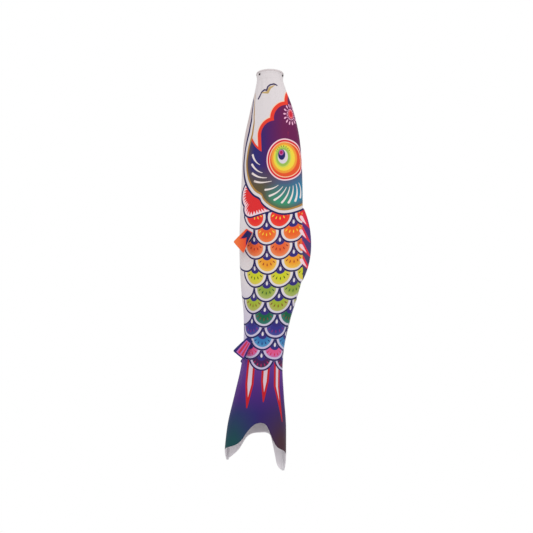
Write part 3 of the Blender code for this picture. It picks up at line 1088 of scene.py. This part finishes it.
def turn_eyelet(where, metal):
    """A drawn tube with a rolled, domed flange outside and a curled-over end inside."""
    flange_middle = (EYELET_BORE + EYELET_FLANGE) / 2
    half = (EYELET_FLANGE - EYELET_BORE) / 2
    dome = [(flange_middle - half * math.cos(a), EYELET_FACE + 0.00055 * math.sin(a))
            for a in (math.pi * k / 10 for k in range(11))]
    tube = EYELET_BORE + EYELET_WALL
    barrel = [(tube, EYELET_FACE), (tube, EYELET_END + 0.0008)]
    curl = [(tube + 0.0003 + 0.0003 * math.cos(a),
             EYELET_END + 0.0004 + 0.0004 * math.sin(a))
            for a in (math.pi * k / 8 for k in range(0, -9, -1))]
    bm = spin_profile(dome + barrel + curl + [(EYELET_BORE, EYELET_END)], 40)
    point_outwards(bm, where)
    eyelet = cloth_object("turned_eyelet_" + where, bm)
    eyelet.data.materials.append(metal)
    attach(eyelet, "front_body")
    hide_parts("eyelet_" + where)


def press_washer(where, metal):
    """A dished ring inside the hem, with rounded rims."""
    inner, outer, low, high = 0.0020, 0.0030, 0.02855, 0.0290
    rim = 0.00018
    outline = [(inner, low + rim), (inner + rim, low), (outer - rim, low + 0.0001),
               (outer, low + rim + 0.0001), (outer, high - rim), (outer - rim, high),
               (inner + rim, high), (inner, high - rim)]
    bm = spin_profile(outline, 40)
    point_outwards(bm, where)
    washer = cloth_object("pressed_washer_" + where, bm)
    washer.data.materials.append(metal)
    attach(washer, "front_body")
    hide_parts("eyelet_washer_" + where)


eyelet_plate = plated_brass()
for where in EYELETS:
    turn_eyelet(where, eyelet_plate)
    press_washer(where, eyelet_plate)

# ---------------------------------------------------------------------------
# Loose fins
# Two pairs of small four-cornered flaps of the same cloth, printed on both sides and
# sewn into the belly side of the body by their short root edge.
# ---------------------------------------------------------------------------

# Corners of the left fins: root top, root bottom, free end bottom, free end top.
FINS = {
    "pectoral": ((-0.0503, -0.0275, -0.4000), (-0.0319, -0.0335, -0.4145),
                 (-0.0457, -0.0576, -0.4745), (-0.0767, -0.0430, -0.4365)),
    "ventral": ((-0.0465, -0.0270, -0.6740), (-0.0325, -0.0315, -0.6880),
                (-0.0451, -0.0523, -0.7420), (-0.0768, -0.0447, -0.7125)),
}
FIN_CLOTH = 0.0006
FIN_COLUMNS, FIN_ROWS = 24, 48


def on_side(corner, side):
    """A point of the left side, or the same point on the right side of the turned body."""
    point = Vector(corner)
    if side < 0:
        return point
    centre = Vector((body_section(-point.z)[0], 0, point.z))
    turn = Matrix.Rotation(TAIL_TURN * ease(-point.z, TURN_FROM, TURN_TO), 3, "Z")
    local = turn.inverted() @ (point - centre)
    local.y = -local.y
    return centre + turn @ local


def cut_fin(name, corners, side):
    """A bilinear patch with rounded free corners, a gentle wave and its own measures."""
    root_top, root_bottom, end_bottom, end_top = (on_side(c, side) for c in corners)
    root_width = (root_bottom - root_top).length
    end_width = (end_bottom - end_top).length
    length = ((end_top + end_bottom) - (root_top + root_bottom)).length / 2
    face = ((root_bottom - root_top).cross(end_top - root_top)).normalized()
    if face.y * side < 0:
        face = -face
    bm = bmesh.new()
    bmesh.ops.create_grid(bm, x_segments=FIN_COLUMNS, y_segments=FIN_ROWS, size=1)
    place = {}
    for vert in bm.verts:
        u, v = (vert.co.x + 1) / 2, (vert.co.y + 1) / 2
        rounding = 0.045 * (max(0.0, v - 0.93) / 0.07) ** 2
        u = 0.5 + (u - 0.5) * (1 - 2 * rounding)
        top, bottom = root_top.lerp(end_top, v), root_bottom.lerp(end_bottom, v)
        vert.co = top.lerp(bottom, u)
        wave = 0.0011 * math.sin(math.pi * v) * math.sin(2.6 * math.pi * u + 0.7)
        curl = 0.0016 * math.sin(math.pi * 0.5 * v) * (2 * u - 1) ** 2 * v
        vert.co += face * ((wave + curl) * ease(v, 0.0, 0.35))
        place[vert] = ((u - 0.5) * (root_width + (end_width - root_width) * v), length * v)
    layer = bm.loops.layers.uv.new("cut")
    for patch in bm.faces:
        for loop in patch.loops:
            loop[layer].uv = place[loop.vert]
    bm.normal_update()
    if sum(f.normal.dot(face) for f in bm.faces) < 0:
        bmesh.ops.reverse_faces(bm, faces=bm.faces)
    return cloth_object(name, bm), (end_width, length), (root_width + end_width) / 2 * length


def fin_shares(cloth, kind):
    """How far a point lies across a fin, from its upper edge, and out from its root."""
    root_top, root_bottom, end_bottom, end_top = (Vector(corner) for corner in FINS[kind])
    root, end = (root_bottom - root_top).length, (end_bottom - end_top).length
    length = ((end_top + end_bottom) - (root_top + root_bottom)).length / 2
    out = cloth.down / length
    return cloth.across / (out * (end - root) + root) + 0.5, out


def pectoral_print():
    """Orange with a dark blue patch at the root that runs out in two points."""
    material, tree, shader = cloth_shader("pectoral_fin_print")
    cloth = Print(tree, OFF_WHITE)
    across, out = fin_shares(cloth, "pectoral")
    cloth.colour = cloth.blend(rgb(232, 78, 40), rgb(240, 116, 60),
                               (out - across * 0.9).over(0.35, 0.9))
    notch = across - 0.615
    reach = (notch * -0.63).most(notch) + 0.33
    cloth.lay(rgb(206, 44, 66), (out - reach).under(0.045, 0.01) * across.between(0.20, 1.0, 0.02)
              * out.over(0.02, 0.01))
    cloth.lay(rgb(28, 24, 88), (out - reach).under(0.0, 0.01) * across.between(0.25, 0.96, 0.02)
              * out.over(0.04, 0.01))
    rim = across.between(0.02, 0.98, 0.01) * out.under(0.985, 0.01)
    cloth.lay(rgb(242, 142, 112), 1.0 - rim)
    tree.links.new(cloth.colour, shader.inputs["Base Color"])
    weave_cloth(tree, shader)
    return material


def ventral_print():
    """A navy border round a pink field with two red stripes lengthwise."""
    material, tree, shader = cloth_shader("ventral_fin_print")
    cloth = Print(tree, rgb(40, 34, 104))
    across, out = fin_shares(cloth, "ventral")
    cloth.lay(rgb(184, 96, 168), across.between(0.20, 0.87, 0.02) * out.between(0.16, 0.93, 0.01))
    for low, high in ((0.30, 0.47), (0.60, 0.78)):
        cloth.lay(rgb(196, 46, 72), across.between(low, high, 0.03) * out.between(0.20, 0.895, 0.01))
    tree.links.new(cloth.colour, shader.inputs["Base Color"])
    weave_cloth(tree, shader)
    return material


fin_prints = {"pectoral": pectoral_print(), "ventral": ventral_print()}
for kind, corners in FINS.items():
    for name, side in SIDES.items():
        fin, cut, area = cut_fin(f"{kind}_fin_cloth_{name}", corners, side)
        fin.data.materials.append(fin_prints[kind])
        give_wall(fin, FIN_CLOTH, offset=0)
        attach(fin, f"{kind}_{name}")
        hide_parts(f"{kind}_fin_{name}")

# ---------------------------------------------------------------------------
# Where it is shown
# A pale floor far below, even white light and one soft lamp. The streamer is seen from
# below and a little to the back.
# ---------------------------------------------------------------------------

VIEW_AZIMUTH, VIEW_ELEVATION = math.radians(20), math.radians(-20)
VIEW_DISTANCE = 20.0
VIEW_NEARER = 0.171        # the streamer's middle is this much nearer than its mouth
VIEW_WIDTH = 1.2696        # how wide a strip is in view at the streamer
AIM_SIDE, AIM_UP = -0.0083, -0.4631
KEY_PLACE, KEY_TARGET = Vector((1.6, -2.4, 0.6)), Vector((0, 0, -0.5))
FLOOR_HALF_WIDTH, FLOOR_DROP = 30, 9.0

back = Vector((math.sin(VIEW_AZIMUTH) * math.cos(VIEW_ELEVATION),
               -math.cos(VIEW_AZIMUTH) * math.cos(VIEW_ELEVATION), math.sin(VIEW_ELEVATION)))
right = Vector((math.cos(VIEW_AZIMUTH), math.sin(VIEW_AZIMUTH), 0))
up = back.cross(right)
aim = right * AIM_SIDE + up * AIM_UP
lens = bpy.data.cameras.new("view")
lens.sensor_width = 36
lens.lens = lens.sensor_width * VIEW_DISTANCE / VIEW_WIDTH
lens.clip_end = 100
camera = bpy.data.objects.new("view", lens)
camera.matrix_world = Matrix((right, up, back)).transposed().to_4x4()
camera.location = aim + back * (VIEW_DISTANCE + VIEW_NEARER)
bpy.context.scene.collection.objects.link(camera)
bpy.context.scene.camera = camera

world = bpy.data.worlds.new("studio")
world.use_nodes = True
world.node_tree.nodes["Background"].inputs["Color"].default_value = (1.0, 1.0, 1.0, 1.0)
world.node_tree.nodes["Background"].inputs["Strength"].default_value = 1.0
bpy.context.scene.world = world
bpy.context.scene.view_settings.view_transform = "Standard"

lamp = bpy.data.lights.new("key", "AREA")
lamp.size = 1.6
lamp.energy = 18
key = bpy.data.objects.new("key", lamp)
key.location = KEY_PLACE
key.rotation_euler = (KEY_TARGET - KEY_PLACE).to_track_quat("-Z", "Y").to_euler()
bpy.context.scene.collection.objects.link(key)


def studio_floor():
    """A wide pale floor far under the hanging streamer."""
    bm = bmesh.new()
    bmesh.ops.create_grid(bm, x_segments=8, y_segments=8, size=FLOOR_HALF_WIDTH)
    bmesh.ops.translate(bm, verts=bm.verts, vec=(0, 0, -FLOOR_DROP))
    mesh = bpy.data.meshes.new("floor")
    bm.to_mesh(mesh)
    bm.free()
    floor = bpy.data.objects.new("floor", mesh)
    material, _, shader = fresh_material("floor_paint")
    shader.inputs["Base Color"].default_value = rgb(244, 244, 244)
    shader.inputs["Roughness"].default_value = 0.9
    mesh.materials.append(material)
    bpy.context.scene.collection.objects.link(floor)


studio_floor()
